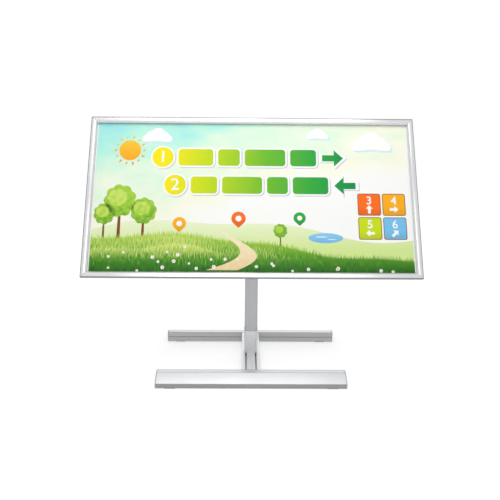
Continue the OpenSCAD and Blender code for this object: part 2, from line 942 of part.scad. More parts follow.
// Bent leaf spring: from the corner under the stop rib to the cover's neck
function ribbon(path, t) =
    let (
        n = len(path),
        normal = [for (i = [0:n - 1])
            let (d = unit(path[min(i + 1, n - 1)] - path[max(i - 1, 0)])) [-d[1], d[0]] * t / 2]
    )
    concat([for (i = [0:n - 1]) path[i] + normal[i]], [for (i = [n - 1:-1:0]) path[i] - normal[i]]);

module spring_section() {
    side = neck_t / 2 + run_gap + spring_t / 2;
    tip = bead_at + polar(spring_reach, neck_angle) + polar(side, neck_angle - 90);
    seat = [rib_a - run_gap - spring_t / 2, profile_t + run_gap];
    bend = [seat[0], bead_n];
    polygon(ribbon([seat - [spring_foot, 0], seat, bend, tip], spring_t));
}

module snap_springs() {
    color("darkgray") for (side = [0:3])
        for (share = side % 2 == 0 ? long_spring_shares : short_spring_shares)
            on_side(side) translate([side_len(side) * share - spring_w / 2, 0, 0])
                on_edge(spring_w) spring_section();
}

// The cover's bead is cut square, short of the next side's bead, so that its ends can turn
module snap_cover(side) {
    bead_cut = hook_r + bead_r + mitre_gap;
    bead_len = side_len(side) - 2 * bead_cut;
    color("gainsboro") on_side(side) {
        bar(side_len(side), mitre_gap) cover_section();
        translate([-bead_len / 2, 0, 0]) on_edge(bead_len) translate(bead_at) circle(r = bead_r);
    }
}

module snap_cover_bottom() {
    snap_cover(0);
}

module snap_cover_right() {
    snap_cover(1);
}

module snap_cover_top() {
    snap_cover(2);
}

module snap_cover_left() {
    snap_cover(3);
}

front_foot();
rear_foot();
front_foot_cap_left();
front_foot_cap_right();
rear_foot_cap_left();
rear_foot_cap_right();
foot_pads();
base_beam();
beam_screws();
beam_washers();
slot_nuts();
post_socket();
socket_screws();
post_clamp_screws();
post();
post_head();
head_screws();
pivot_bolt();
pivot_sleeve();
pivot_washers();
pivot_nut();
tilt_bracket();
bracket_screws();
lock_stud();
lock_washer();
lock_knob();
lock_knob_insert();
back_rail_upper();
back_rail_lower();
rail_end_plugs();
rail_screws();
back_panel();
poster_sheet();
clear_cover_sheet();
frame_profile_bottom();
frame_profile_right();
frame_profile_top();
frame_profile_left();
corner_keys();
corner_key_screws();
snap_springs();
snap_cover_bottom();
snap_cover_right();
snap_cover_top();
snap_cover_left();
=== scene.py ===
"""Looks of a floor standing sign: a wide snap frame panel, tilted back on a post with an H base."""

import json
import math
import random

import bpy
from mathutils import Matrix, Vector


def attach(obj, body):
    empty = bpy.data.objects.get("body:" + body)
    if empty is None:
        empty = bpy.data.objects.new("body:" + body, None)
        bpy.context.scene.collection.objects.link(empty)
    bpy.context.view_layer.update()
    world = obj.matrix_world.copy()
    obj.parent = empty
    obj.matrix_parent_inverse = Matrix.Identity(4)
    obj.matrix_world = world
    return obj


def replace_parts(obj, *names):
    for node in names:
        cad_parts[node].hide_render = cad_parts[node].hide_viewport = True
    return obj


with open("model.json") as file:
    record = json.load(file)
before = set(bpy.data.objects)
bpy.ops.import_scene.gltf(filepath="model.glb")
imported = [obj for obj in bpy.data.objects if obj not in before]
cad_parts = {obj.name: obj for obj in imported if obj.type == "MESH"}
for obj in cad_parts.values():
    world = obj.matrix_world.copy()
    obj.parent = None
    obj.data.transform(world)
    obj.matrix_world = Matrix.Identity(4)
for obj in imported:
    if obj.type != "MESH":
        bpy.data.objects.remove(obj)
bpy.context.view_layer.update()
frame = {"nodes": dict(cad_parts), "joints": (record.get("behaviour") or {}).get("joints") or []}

# The panel's own frame: the tilt pivot is its origin, -Y is its front and Z runs up the panel
tilt_joint = next(j for j in frame["joints"] if j["name"] == "panel_tilt")
TILT = -math.radians(tilt_joint["range_deg"][0])
PANEL = Matrix.Translation(tilt_joint["pos_m"]) @ Matrix.Rotation(-TILT, 4, "X")
INTO_PANEL = PANEL.inverted()

# Turn that sets a panel piece's coordinates upright
IN_PANEL = (TILT, 0, 0)
# Directions in which an extrusion's drawn lines run
ALONG_X, ALONG_Y, ALONG_Z = (1, 0, 0), (0, 1, 0), (0, 0, 1)


def panel_box(node):
    """Lowest and highest corner of a CAD node in the panel's own frame."""
    points = [INTO_PANEL @ v.co for v in frame["nodes"][node].data.vertices]
    low = Vector([min(p[i] for p in points) for i in range(3)])
    high = Vector([max(p[i] for p in points) for i in range(3)])
    return low, high


def srgb(red, green, blue):
    """Linear colour of an sRGB colour with channels from 0 to 255."""
    def linear(c):
        c /= 255
        return c / 12.92 if c <= 0.04045 else ((c + 0.055) / 1.055) ** 2.4
    return (linear(red), linear(green), linear(blue), 1.0)


def grey(value):
    return (value, value, value, 1.0)


def darker(colour, share):
    """Share of a linear colour's light."""
    return tuple(c * share for c in colour[:3]) + (1.0,)


# Shader graphs

# Noise mostly keeps between these values
NOISE_LOW, NOISE_HIGH = 0.3, 0.7
# Cosine between the rounded and the plain normal where an edge starts and where it is full
EDGE_STARTS, EDGE_FULL = 0.995, 0.9
EDGE_SAMPLES = 6


class Graph:
    """A node tree with short calls for the nodes that the materials share."""

    def __init__(self, tree):
        self.tree = tree
        tree.nodes.clear()

    def node(self, kind, inputs=None, **settings):
        """New node; each input takes a plain value or the socket that feeds it."""
        made = self.tree.nodes.new(kind)
        for name, value in settings.items():
            setattr(made, name, value)
        for name, value in (inputs or {}).items():
            self.put(made.inputs[name], value)
        return made

    def put(self, socket, value):
        if isinstance(value, bpy.types.NodeSocket):
            self.tree.links.new(value, socket)
        else:
            socket.default_value = value

    def place(self, turn=(0, 0, 0), scale=(1, 1, 1)):
        """The piece's own coordinates in metres, turned and then stretched.

        With the turn IN_PANEL they start at the pivot."""
        source = self.node("ShaderNodeTexCoord").outputs["Object"]
        shift = INTO_PANEL.translation if turn == IN_PANEL else (0, 0, 0)
        turned = self.node("ShaderNodeMapping", {
            "Vector": source, "Rotation": turn, "Location": shift})
        return self.node("ShaderNodeMapping", {
            "Vector": turned.outputs[0], "Scale": scale}).outputs[0]

    def noise(self, where, scale=1.0, detail=3.0, rough=0.5):
        inputs = {"Vector": where, "Scale": scale, "Detail": detail, "Roughness": rough}
        return self.node("ShaderNodeTexNoise", inputs).outputs["Fac"]

    def streaks(self, along, turn, per_length, per_width, detail, rough=0.5):
        """Noise drawn out in one direction, with its cells per metre along and across it."""
        scale = [per_length if a else per_width for a in along]
        return self.noise(self.place(turn, scale), detail=detail, rough=rough)

    def ramp(self, value, stops):
        """Colours along a value; stops are pairs of a position and a colour."""
        made = self.node("ShaderNodeValToRGB", {"Fac": value})
        points = made.color_ramp.elements
        while len(points) < len(stops):
            points.new(1.0)
        for point, (position, colour) in zip(points, stops):
            point.position, point.color = position, colour
        return made.outputs["Color"]

    def span(self, value, low, high, to_low=0.0, to_high=1.0):
        """Value mapped from one span to another and held at its ends."""
        inputs = {"Value": value, "From Min": low, "From Max": high,
                  "To Min": to_low, "To Max": to_high}
        return self.node("ShaderNodeMapRange", inputs).outputs["Result"]

    def vary(self, noise, low, high):
        """Value that a noise moves between two ends."""
        return self.span(noise, NOISE_LOW, NOISE_HIGH, low, high)

    def math(self, kind, a, b=0.0):
        made = self.node("ShaderNodeMath", operation=kind)
        self.put(made.inputs[0], a)
        self.put(made.inputs[1], b)
        return made.outputs[0]

    def product(self, first, *others):
        for other in others:
            first = self.math("MULTIPLY", first, other)
        return first

    def mix(self, share, a, b):
        made = self.node("ShaderNodeMix", data_type="RGBA")
        self.put(made.inputs[0], share)
        self.put(made.inputs[6], a)
        self.put(made.inputs[7], b)
        return made.outputs[2]

    def shaded(self, tone, *shades):
        """A tone under one or more shades."""
        return self.mix(self.product(*shades), grey(0.0), tone)

    def axis(self, where, name):
        return self.node("ShaderNodeSeparateXYZ", {"Vector": where}).outputs[name]

    def bump(self, height, distance, strength=1.0, normal=None):
        inputs = {"Height": height, "Distance": distance, "Strength": strength}
        if normal is not None:
            inputs["Normal"] = normal
        return self.node("ShaderNodeBump", inputs).outputs[0]

    def soft_edges(self, radius):
        """Normal that rounds sharp edges, and a mask that is 1 along them."""
        rounded = self.node("ShaderNodeBevel", {"Radius": radius}, samples=EDGE_SAMPLES).outputs[0]
        plain = self.node("ShaderNodeNewGeometry").outputs["Normal"]
        dot = self.node("ShaderNodeVectorMath", {0: rounded, 1: plain}, operation="DOT_PRODUCT")
        return rounded, self.span(dot.outputs["Value"], EDGE_STARTS, EDGE_FULL)


def material(name):
    made = bpy.data.materials.new(name)
    made.use_nodes = True
    return made, Graph(made.node_tree)


def surface(graph, **inputs):
    """Principled surface; an underscore in a name stands for the space in its socket's name."""
    shader = graph.node("ShaderNodeBsdfPrincipled", {
        name.replace("_", " "): value for name, value in inputs.items()})
    graph.node("ShaderNodeOutputMaterial", {"Surface": shader.outputs[0]})


# Materials of the CAD pieces. Scales are noise cells per metre, other lengths are in metres.

# Anodised skin scatters part of the light, so it is not quite a mirror metal
METAL_SHARE = 0.7
# How softly a dark band ends, and how far its ends waver
SOFT, WAVER = 0.0005, 0.0002


def drawn_metal(name, tone, along, turn=(0, 0, 0), rough=0.4, edge=0.0004, edge_tone=0.95,
                dark=()):
    """Satin anodised extrusion: fine drawn lines, faint bands and clouds, and soft edges.

    Dark lists where shade is painted, as pairs of a share and its bands. A band is an axis with
    two distances from the middle, and the painted shade lies where all the bands of a pair meet."""
    made, g = material(name)
    lines = g.streaks(along, turn, per_length=4.0, per_width=700.0, detail=4.0, rough=0.65)
    bands = g.streaks(along, turn, per_length=0.8, per_width=90.0, detail=2.0)
    clouds = g.noise(g.place(turn), scale=9.0, detail=3.0)
    rounded, edges = g.soft_edges(edge)
    shades = [g.vary(lines, 0.95, 1.03), g.vary(bands, 0.985, 1.01), g.vary(clouds, 0.975, 1.015)]
    for share, bands_met in dark:
        shade_share = share
        for axis, near, far in bands_met:
            away = g.math("ABSOLUTE", g.axis(g.place(turn), axis))
            away = g.math("ADD", away, g.vary(clouds, -WAVER, WAVER))
            shade_share = g.product(shade_share, g.span(away, near - SOFT, near),
                             g.span(away, far, far + SOFT, 1.0, 0.0))
        shades.append(g.math("SUBTRACT", 1.0, shade_share))
    # Edges go towards edge_tone: a light tone is rubbed wear, a dark one is painted shade along the
    # edges
    edge_share = 0.35
    colour = g.mix(g.product(edges, edge_share), g.shaded(tone, *shades), grey(edge_tone))
    gloss = g.math("ADD", g.vary(lines, rough - 0.05, rough + 0.06), g.vary(clouds, -0.03, 0.04))
    surface(g, Base_Color=colour, Metallic=METAL_SHARE, Roughness=gloss, Specular_IOR_Level=0.4,
            Normal=g.bump(lines, 0.00001, strength=0.4, normal=rounded))
    return made


def cast_metal(name, tone, grain=500.0, depth=0.00008, rough=0.45):
    """Cast or tumbled metal: an even fine grain with soft stains."""
    made, g = material(name)
    fine = g.noise(g.place(), scale=grain, detail=4.0, rough=0.6)
    clouds = g.noise(g.place(), scale=30.0, detail=3.0)
    rounded, edges = g.soft_edges(0.0006)
    edge_share, edge_tone = 0.4, grey(0.92)
    body = g.shaded(tone, g.vary(fine, 0.9, 1.05), g.vary(clouds, 0.93, 1.03))
    surface(g, Base_Color=g.mix(g.product(edges, edge_share), body, edge_tone), Metallic=1.0,
            Roughness=g.vary(clouds, rough - 0.06, rough + 0.08),
            Normal=g.bump(fine, depth, strength=0.7, normal=rounded))
    return made


def plated_metal(name, warm, cool, rough=0.28):
    """Zinc plated or turned metal: a faint change of hue, turning marks and small scuffs."""
    made, g = material(name)
    hue = g.noise(g.place(), scale=60.0, detail=2.0)
    marks = g.noise(g.place(), scale=900.0, detail=3.0, rough=0.7)
    rounded, edges = g.soft_edges(0.0003)
    scuff, scuff_tone = 0.25, grey(0.25)
    edge_share, edge_tone = 0.4, grey(0.9)
    body = g.mix(g.span(hue, 0.35, 0.65), warm, cool)
    scuffed = g.mix(g.span(marks, 0.55, 0.75, 0.0, scuff), body, scuff_tone)
    surface(g, Base_Color=g.mix(g.product(edges, edge_share), scuffed, edge_tone), Metallic=1.0,
            Roughness=g.vary(marks, rough - 0.05, rough + 0.12),
            Normal=g.bump(marks, 0.00002, strength=0.5, normal=rounded))
    return made


def coated_metal(name, tone):
    """Powder coat: orange peel, a little sparkle and chips along the edges."""
    made, g = material(name)
    peel = g.noise(g.place(), scale=420.0, detail=2.0)
    flake = g.noise(g.place(), scale=2600.0, detail=1.0)
    rounded, edges = g.soft_edges(0.0006)
    flake_tone, chip_tone = grey(0.78), grey(0.5)
    body = g.mix(g.span(flake, 0.45, 0.7), tone, flake_tone)
    chips = g.product(edges, g.span(peel, 0.45, 0.6))
    surface(g, Base_Color=g.mix(chips, body, chip_tone), Metallic=0.55,
            Roughness=g.vary(peel, 0.38, 0.5),
            Normal=g.bump(peel, 0.00012, strength=0.8, normal=rounded))
    return made


def moulded_plastic(name, tone, light, grain=1400.0, rough=0.5):
    """Moulded plastic or rubber: spark-eroded grain, faint flow clouds and rubbed edges."""
    made, g = material(name)
    grains = g.node("ShaderNodeTexVoronoi", {"Vector": g.place(), "Scale": grain})
    clouds = g.noise(g.place(), scale=40.0, detail=3.0)
    rounded, edges = g.soft_edges(0.0005)
    flow, edge_share = 0.25, 0.5
    body = g.mix(g.vary(clouds, 0.0, flow), tone, light)
    surface(g, Base_Color=g.mix(g.product(edges, edge_share), body, light),
            Roughness=g.vary(clouds, rough - 0.05, rough + 0.08),
            Normal=g.bump(grains.outputs["Distance"], 0.00005, strength=0.6, normal=rounded))
    return made


def board(name):
    """Foamed board: a fine pitted skin, faint rolling bands and a few grey specks."""
    made, g = material(name)
    pits = g.noise(g.place(IN_PANEL), scale=800.0, detail=3.0, rough=0.7)
    bands = g.noise(g.place(IN_PANEL, (2.0, 1.0, 40.0)), detail=2.0)
    specks = g.noise(g.place(IN_PANEL), scale=260.0, detail=0.0)
    speck_share, speck_tone = 0.35, grey(0.45)
    tone = g.mix(g.vary(bands, 0.0, 1.0), srgb(238, 239, 236), srgb(228, 230, 228))
    colour = g.mix(g.span(specks, 0.78, 0.84, 0.0, speck_share), tone, speck_tone)
    surface(g, Base_Color=colour, Roughness=g.vary(pits, 0.55, 0.75),
            Normal=g.bump(pits, 0.00008, strength=0.5))
    return made


def clear_sheet(name):
    """Anti-glare clear sheet: nearly all see-through, with a soft uneven gloss."""
    made, g = material(name)
    haze = g.noise(g.place(IN_PANEL), scale=900.0, detail=2.0)
    surface(g, Base_Color=srgb(120, 128, 126), Roughness=g.vary(haze, 0.16, 0.26),
            Normal=g.bump(haze, 0.00001, strength=0.4), Alpha=0.03, Specular_IOR_Level=0.5)
    return made


# Where shade is painted: darker bands on faces that the light misses and in recesses. A band with
# no far end goes on to a place past the whole part.
PAST = 1.0
# Painted shade on the feet's toe faces, on their inner walls and in the groove along those walls
foot_toe, foot_wall = [("Y", 0.2222, PAST)], [("Y", 0.0, 0.1610)]
foot_groove = [("Y", 0.1592, 0.1604)]
foot_painted_shade = ((0.46, foot_toe), (0.16, foot_wall), (0.42, foot_groove))
# Painted shade in the beam's slots
slot_painted_shade = ((0.42, [("X", 0.0130, 0.0250), ("Z", 0.0, 0.0430)]),)
# Painted shade and dark reflection along the outer edges of the snap covers, seen as thin darker
# lines
long_rim = ((0.64, [("Z", 0.3020, PAST)]),)
top_rim = ((0.9, [("Z", 0.3016, PAST)]),)
side_rim = ((0.6, [("X", 0.5970, PAST)]),)

# The stand's parts are one anodised aluminium; their tones differ as painted light and shade:
# lighter on the beam for the light on its top, lighter on the socket against the shade near the
# floor, and darker on the post for the shade on its front
foot_tone, bar_tone, profile_tone = srgb(198, 199, 201), srgb(210, 211, 213), srgb(186, 188, 191)
foot_metal = drawn_metal("foot_anodised", foot_tone, ALONG_X, rough=0.36, dark=foot_painted_shade)
beam_metal = drawn_metal("beam_anodised", srgb(224, 225, 226), ALONG_Y, rough=0.42, dark=slot_painted_shade)
socket_metal = drawn_metal("socket_anodised", srgb(214, 215, 216), ALONG_Z, edge=0.0006)
# The post's dark edge tone paints shade along its rounded edges
post_metal = drawn_metal("post_anodised", srgb(178, 179, 181), ALONG_Z, edge=0.0012, edge_tone=0.3)
rail_metal = drawn_metal("rail_mill", srgb(184, 186, 189), ALONG_X, IN_PANEL, rough=0.42)
# The covers' dark edge tones also paint shade and dark reflection on their rounded edges, darkest
# on the top cover
bar_metal = drawn_metal("cover_anodised_long", bar_tone, ALONG_X, IN_PANEL, rough=0.22,
                        edge=0.0003, edge_tone=0.5, dark=long_rim)
top_metal = drawn_metal("cover_anodised_top", bar_tone, ALONG_X, IN_PANEL, rough=0.22,
                        edge=0.0003, edge_tone=0.1, dark=top_rim)
side_metal = drawn_metal("cover_anodised_short", bar_tone, ALONG_Z, IN_PANEL, rough=0.22,
                         edge=0.0003, edge_tone=0.5, dark=side_rim)
profile_long = drawn_metal("profile_mill_long", profile_tone, ALONG_X, IN_PANEL)
profile_short = drawn_metal("profile_mill_short", profile_tone, ALONG_Z, IN_PANEL)
head_metal = cast_metal("head_cast", srgb(196, 198, 202))
key_metal = cast_metal("key_stamped", srgb(190, 192, 196), grain=900.0, depth=0.00003, rough=0.38)
bracket_coat = coated_metal("bracket_coat", srgb(176, 179, 183))
zinc = plated_metal("zinc_plated", srgb(206, 203, 190), srgb(196, 203, 212))
bright_zinc = plated_metal("washer_zinc", srgb(214, 213, 206), srgb(206, 212, 220), rough=0.24)
spring_metal = plated_metal("spring_steel", srgb(150, 148, 142), srgb(132, 138, 148), rough=0.32)
brass = plated_metal("insert_brass", srgb(226, 190, 110), srgb(208, 168, 88))
cap_plastic = moulded_plastic("cap_silver_plastic", srgb(176, 178, 180), srgb(204, 206, 208))
black_plastic = moulded_plastic("plug_black_plastic", srgb(26, 27, 29), srgb(60, 62, 65))
knob_plastic = moulded_plastic("knob_black_plastic", srgb(18, 18, 20), srgb(56, 57, 60),
                               grain=900.0, rough=0.42)
rubber = moulded_plastic("pad_rubber", srgb(30, 30, 31), srgb(58, 57, 56), grain=700.0, rough=0.75)
foam_board = board("foam_board")
glazing = clear_sheet("clear_glazing")

DRESS = {
    "front_foot": foot_metal, "rear_foot": foot_metal,
    "front_foot_cap_left": cap_plastic, "front_foot_cap_right": cap_plastic,
    "rear_foot_cap_left": cap_plastic, "rear_foot_cap_right": cap_plastic,
    "foot_pads": rubber, "base_beam": beam_metal,
    "beam_screws": zinc, "beam_washers": bright_zinc, "slot_nuts": zinc,
    "post_socket": socket_metal, "socket_screws": zinc, "post_clamp_screws": zinc,
    "post": post_metal, "post_head": head_metal, "head_screws": zinc,
    "pivot_bolt": zinc, "pivot_sleeve": bright_zinc, "pivot_washers": bright_zinc,
    "pivot_nut": zinc, "tilt_bracket": bracket_coat, "bracket_screws": zinc,
    "lock_stud": zinc, "lock_washer": bright_zinc, "lock_knob": knob_plastic,
    "lock_knob_insert": brass,
    "back_rail_upper": rail_metal, "back_rail_lower": rail_metal,
    "rail_end_plugs": black_plastic, "rail_screws": zinc,
    "back_panel": foam_board, "clear_cover_sheet": glazing,
    "frame_profile_bottom": profile_long, "frame_profile_top": profile_long,
    "frame_profile_left": profile_short, "frame_profile_right": profile_short,
    "corner_keys": key_metal, "corner_key_screws": zinc, "snap_springs": spring_metal,
    "snap_cover_bottom": bar_metal, "snap_cover_top": top_metal,
    "snap_cover_left": side_metal, "snap_cover_right": side_metal,
}
for node_name, dress in DRESS.items():
    for slot in frame["nodes"][node_name].material_slots:
        slot.material = dress


# Poster: a generic directory print, drawn as thin layers between the back panel and the clear
# sheet. Its places are (u, v): metres to the right of the pivot and up the panel from it.

sheet_low, sheet_high = panel_box("poster_sheet")
sheet_depth = sheet_high.y - sheet_low.y
# Shares of the sheet's depth: the paper, and the step from one printed layer to the next
PAPER_SHARE = 0.35
LAYER_SHARE = 0.04
paper_front = sheet_high.y - sheet_depth * PAPER_SHARE
# The print ends just inside the snap covers at the sides and runs under them above and below
MARGIN = 0.003
LEFT, RIGHT = -0.574, 0.574
FLOOR, TOP = sheet_low.z + MARGIN, sheet_high.z - MARGIN
random.seed(7)


def layer_y(level):
    """Depth of a printed layer: higher levels lie nearer to the viewer."""
    return paper_front - sheet_depth * LAYER_SHARE * (level + 1)


def piece_on_panel(name, mesh):
    piece = bpy.data.objects.new(name, mesh)
    bpy.context.scene.collection.objects.link(piece)
    piece.matrix_world = PANEL
    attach(piece, "panel")
    return piece


def printed(name, faces, level, mat):
    """Flat piece from outlines of (u, v) points, each counter-clockwise as the viewer sees it."""
    points, polygons = [], []
    for face in faces:
        polygons.append([len(points) + i for i in range(len(face))])
        points += [(u, layer_y(level), v) for u, v in face]
    mesh = bpy.data.meshes.new(name)
    mesh.from_pydata(points, [], polygons)
    mesh.materials.append(mat)
    return piece_on_panel(name, mesh)


# Inks

# Fine tooth of the paper: cells per metre
TOOTH = 1500.0


def print_surface(g, colour):
    tooth = g.noise(g.place(), scale=TOOTH, detail=2.0)
    surface(g, Base_Color=colour, Roughness=g.vary(tooth, 0.5, 0.62), Specular_IOR_Level=0.06,
            Normal=g.bump(tooth, 0.00001, strength=0.3))


def fade(low, high):
    """Stops of a plain change between two sRGB colours."""
    return [(0.0, srgb(*low)), (1.0, srgb(*high))]


def ink(name, stops, axis="Z", low=-0.28, high=0.28, mottle=0.05, grain=60.0):
    """Printed ink: colours along one axis, a soft mottle and the fine tooth of the paper."""
    made, g = material(name)
    share = g.span(g.axis(g.place(), axis), low, high)
    soft = g.noise(g.place(), scale=grain, detail=3.0)
    share = g.math("ADD", share, g.vary(soft, -mottle, mottle))
    print_surface(g, g.ramp(share, stops))
    return made


def sky_ink(name):
    """Sky print: aqua in one corner, through mint and cream to white, with soft clouds."""
    made, g = material(name)
    wide = g.span(g.axis(g.place(), "X"), -0.57, 0.5)
    high = g.span(g.axis(g.place(), "Z"), 0.28, -0.2)
    soft = g.noise(g.place(scale=(1.0, 1.0, 1.8)), scale=5.0, detail=5.0, rough=0.55)
    by_width, by_height = 0.5, 0.75
    share = g.math("ADD", g.product(wide, by_width), g.product(high, by_height))
    share = g.math("ADD", share, g.vary(soft, -0.16, 0.2))
    print_surface(g, g.ramp(share, [
        (0.0, srgb(150, 232, 236)), (0.22, srgb(190, 246, 228)), (0.42, srgb(226, 250, 226)),
        (0.62, srgb(252, 252, 232)), (0.85, srgb(254, 254, 252))]))
    return made


def blade_ink(name, dark, light, low, high):
    """Grass print: streaks up the blades over a change from dark roots to light tips."""
    made, g = material(name)
    share = g.span(g.axis(g.place(), "Z"), low, high)
    streaks = g.noise(g.place(scale=(420.0, 1.0, 38.0)), detail=3.0, rough=0.6)
    share = g.math("ADD", share, g.vary(streaks, -0.34, 0.34))
    print_surface(g, g.ramp(share, [
        (0.0, srgb(*dark)), (0.55, srgb(*light)), (1.0, srgb(214, 232, 120))]))
    return made


# Outlines


def circle(u, v, radius, steps=40, squash=1.0):
    turn = 2 * math.pi / steps
    return [(u + radius * math.cos(i * turn), v + radius * squash * math.sin(i * turn))
            for i in range(steps)]


def crown(u, v, radius, lobes, squash, phase):
    """Round outline with soft lobes, for a tree's leaves."""
    steps, depth = 72, 0.14
    points = []
    for i in range(steps):
        a = 2 * math.pi * i / steps
        r = radius * (1 + depth * abs(math.sin(lobes * a / 2 + phase)))
        points.append((u + r * math.cos(a), v + r * squash * math.sin(a)))
    return points


def cloud(u, v, size):
    """Heaped cloud: one outline round five puffs, cut off level along its base."""
    puffs = [(-1.15, -0.06, 0.42), (-0.6, 0.22, 0.62), (0.1, 0.42, 0.78), (0.75, 0.18, 0.6),
             (1.25, -0.08, 0.4)]
    base, steps = -0.42, 140
    points = []
    for i in range(steps):
        angle = 2 * math.pi * i / steps
        c, s = math.cos(angle), math.sin(angle)
        reach = 0.0
        for a, b, r in puffs:
            along, across = a * c + b * s, a * s - b * c
            if abs(across) < r:
                reach = max(reach, along + math.sqrt(r * r - across * across))
        if s * reach < base:
            reach = base / s
        points.append((u + c * reach * size, v + s * reach * size))
    return points


def rounded_box(u0, v0, u1, v1, radius, steps=6):
    corners = [(u1 - radius, v0 + radius, -90), (u1 - radius, v1 - radius, 0),
               (u0 + radius, v1 - radius, 90), (u0 + radius, v0 + radius, 180)]
    points = []
    for u, v, start in corners:
        for i in range(steps + 1):
            a = math.radians(start + 90 * i / steps)
            points.append((u + radius * math.cos(a), v + radius * math.sin(a)))
    return points


def arrow(u, v, size, angle):
    """Plain block arrow that points along an angle, in degrees."""
    half, waist, neck, head = 0.5, 0.06, 0.16, 0.42
    shape = [(-half, -neck), (waist, -neck), (waist, -head), (half, 0), (waist, head),
             (waist, neck), (-half, neck)]
    a = math.radians(angle)
    c, s = math.cos(a), math.sin(a)
    return [(u + size * (x * c - y * s), v + size * (x * s + y * c)) for x, y in shape]


def ray(u, v, inner, outer, angle, spread):
    """Pointed ray of a sun round (u, v)."""
    return [(u + inner * math.cos(angle - spread), v + inner * math.sin(angle - spread)),
            (u + outer * math.cos(angle), v + outer * math.sin(angle)),
            (u + inner * math.cos(angle + spread), v + inner * math.sin(angle + spread))]


def pin(u, v, size):
    """Map pin: most of a circle that runs down to a point."""
    point_drop, start, sweep, steps = 1.35, -35, 250, 24
    points = [(u, v - size * point_drop)]
    for k in range(steps + 1):
        a = math.radians(start + sweep * k / steps)
        points.append((u + size * math.cos(a), v + size * math.sin(a)))
    return points


def hill(curve):
    """Closed outline between a curve and the print's lower edge."""
    steps = 120
    us = [LEFT + (RIGHT - LEFT) * i / steps for i in range(steps + 1)]
    return [(LEFT, FLOOR), (RIGHT, FLOOR)] + [(u, curve(u)) for u in reversed(us)]


def grass(curve, blades, tall, lean):
    """Hill whose top edge is a row of blades: one triangle on each step of the curve."""
    faces = []
    step = (RIGHT - LEFT) / blades
    for i in range(blades):
        a, b = LEFT + i * step, LEFT + (i + 1) * step
        middle, height = (a + b) / 2, tall * random.uniform(0.35, 1.0)
        tip_u = middle + lean * height * random.uniform(-1.0, 1.0)
        faces.append([(a, FLOOR), (b, FLOOR), (b, curve(b)), (a, curve(a))])
        tip = (min(max(tip_u, LEFT), RIGHT), curve(middle) + height)
        faces.append([(a, curve(a)), (b, curve(b)), tip])
    return faces


def number(name, text, u, v, height, grow, level):
    """Plain numeral from the built-in font, centred at (u, v) and grown by an outline."""
    capital_share = 0.73  # a numeral's height in the font's size
    curve = bpy.data.curves.new(name, "FONT")
    curve.body = text
    curve.align_x, curve.align_y = "CENTER", "CENTER"
    curve.size = height / capital_share
    curve.offset = grow
    maker = bpy.data.objects.new(name, curve)
    bpy.context.scene.collection.objects.link(maker)
    bpy.context.view_layer.update()
    shown = maker.evaluated_get(bpy.context.evaluated_depsgraph_get())
    mesh = bpy.data.meshes.new_from_object(shown)
    bpy.data.objects.remove(maker)
    upright = Matrix.Rotation(math.pi / 2, 4, "X")
    mesh.transform(Matrix.Translation((u, layer_y(level), v)) @ upright)
    mesh.materials.clear()
    mesh.materials.append(white_ink)
    return piece_on_panel(name, mesh)


# Tops of the hills, as heights over u


def hill_back(u):
    level, swell, ripple = -0.128, 0.036 * math.sin(4.2 * u + 2.4), 0.012 * math.sin(11 * u)
    return level + swell + ripple


def hill_near(u):
    level, swell, ripple = -0.196, 0.046 * math.cos(3.6 * (u + 0.33)), 0.006 * math.sin(17 * u)
    return level + swell + ripple


def hill_middle(u):
    drop = 0.014
    return hill_near(u) - drop


def hill_front(u):
    drop, ripple = 0.040, 0.006 * math.sin(23 * u + 1)
    return hill_near(u) - drop + ripple


# The drawing

ORANGE, AMBER, LIME = srgb(255, 112, 16), srgb(255, 178, 16), srgb(204, 226, 10)
GREEN, BLUE = srgb(44, 170, 60), srgb(120, 196, 240)

white_ink = ink("ink_white", fade((252, 252, 250), (255, 255, 254)))
leaf_ink = ink("ink_leaf", [(0.2, srgb(116, 176, 40)), (0.7, srgb(168, 212, 66))],
               low=-0.2, high=0.1, mottle=0.3)
light_leaf_ink = ink("ink_light_leaf", [(0.2, srgb(168, 210, 60)), (0.8, srgb(206, 232, 110))],
                     low=-0.2, high=0.1, mottle=0.3)
title_ink = ink("ink_title", [
    (0.0, srgb(255, 236, 0)), (0.25, srgb(196, 222, 20)), (0.55, srgb(110, 190, 40)),
    (0.8, srgb(44, 170, 60)), (1.0, srgb(10, 146, 72))], axis="X", low=-0.33, high=0.36,
    mottle=0.01)
shade_ink = ink("ink_shade", fade((206, 204, 220), (214, 212, 226)))


def paper_sheet():
    """The poster's paper: a thin closed slab as large as the CAD sheet, with a faint fibre."""
    u, low, high = sheet_high.x, sheet_low.z, sheet_high.z
    corners = [(-u, low), (u, low), (u, high), (-u, high)]
    points = [(a, y, b) for y in (paper_front, sheet_high.y) for a, b in corners]
    sides = [(i, i + 4, (i + 1) % 4 + 4, (i + 1) % 4) for i in range(4)]
    mesh = bpy.data.meshes.new("poster_paper")
    mesh.from_pydata(points, [], [(0, 1, 2, 3), (7, 6, 5, 4)] + sides)
    mesh.materials.append(ink("paper_white", fade((250, 250, 248), (253, 253, 252)), grain=400.0))
    return piece_on_panel("poster_paper", mesh)


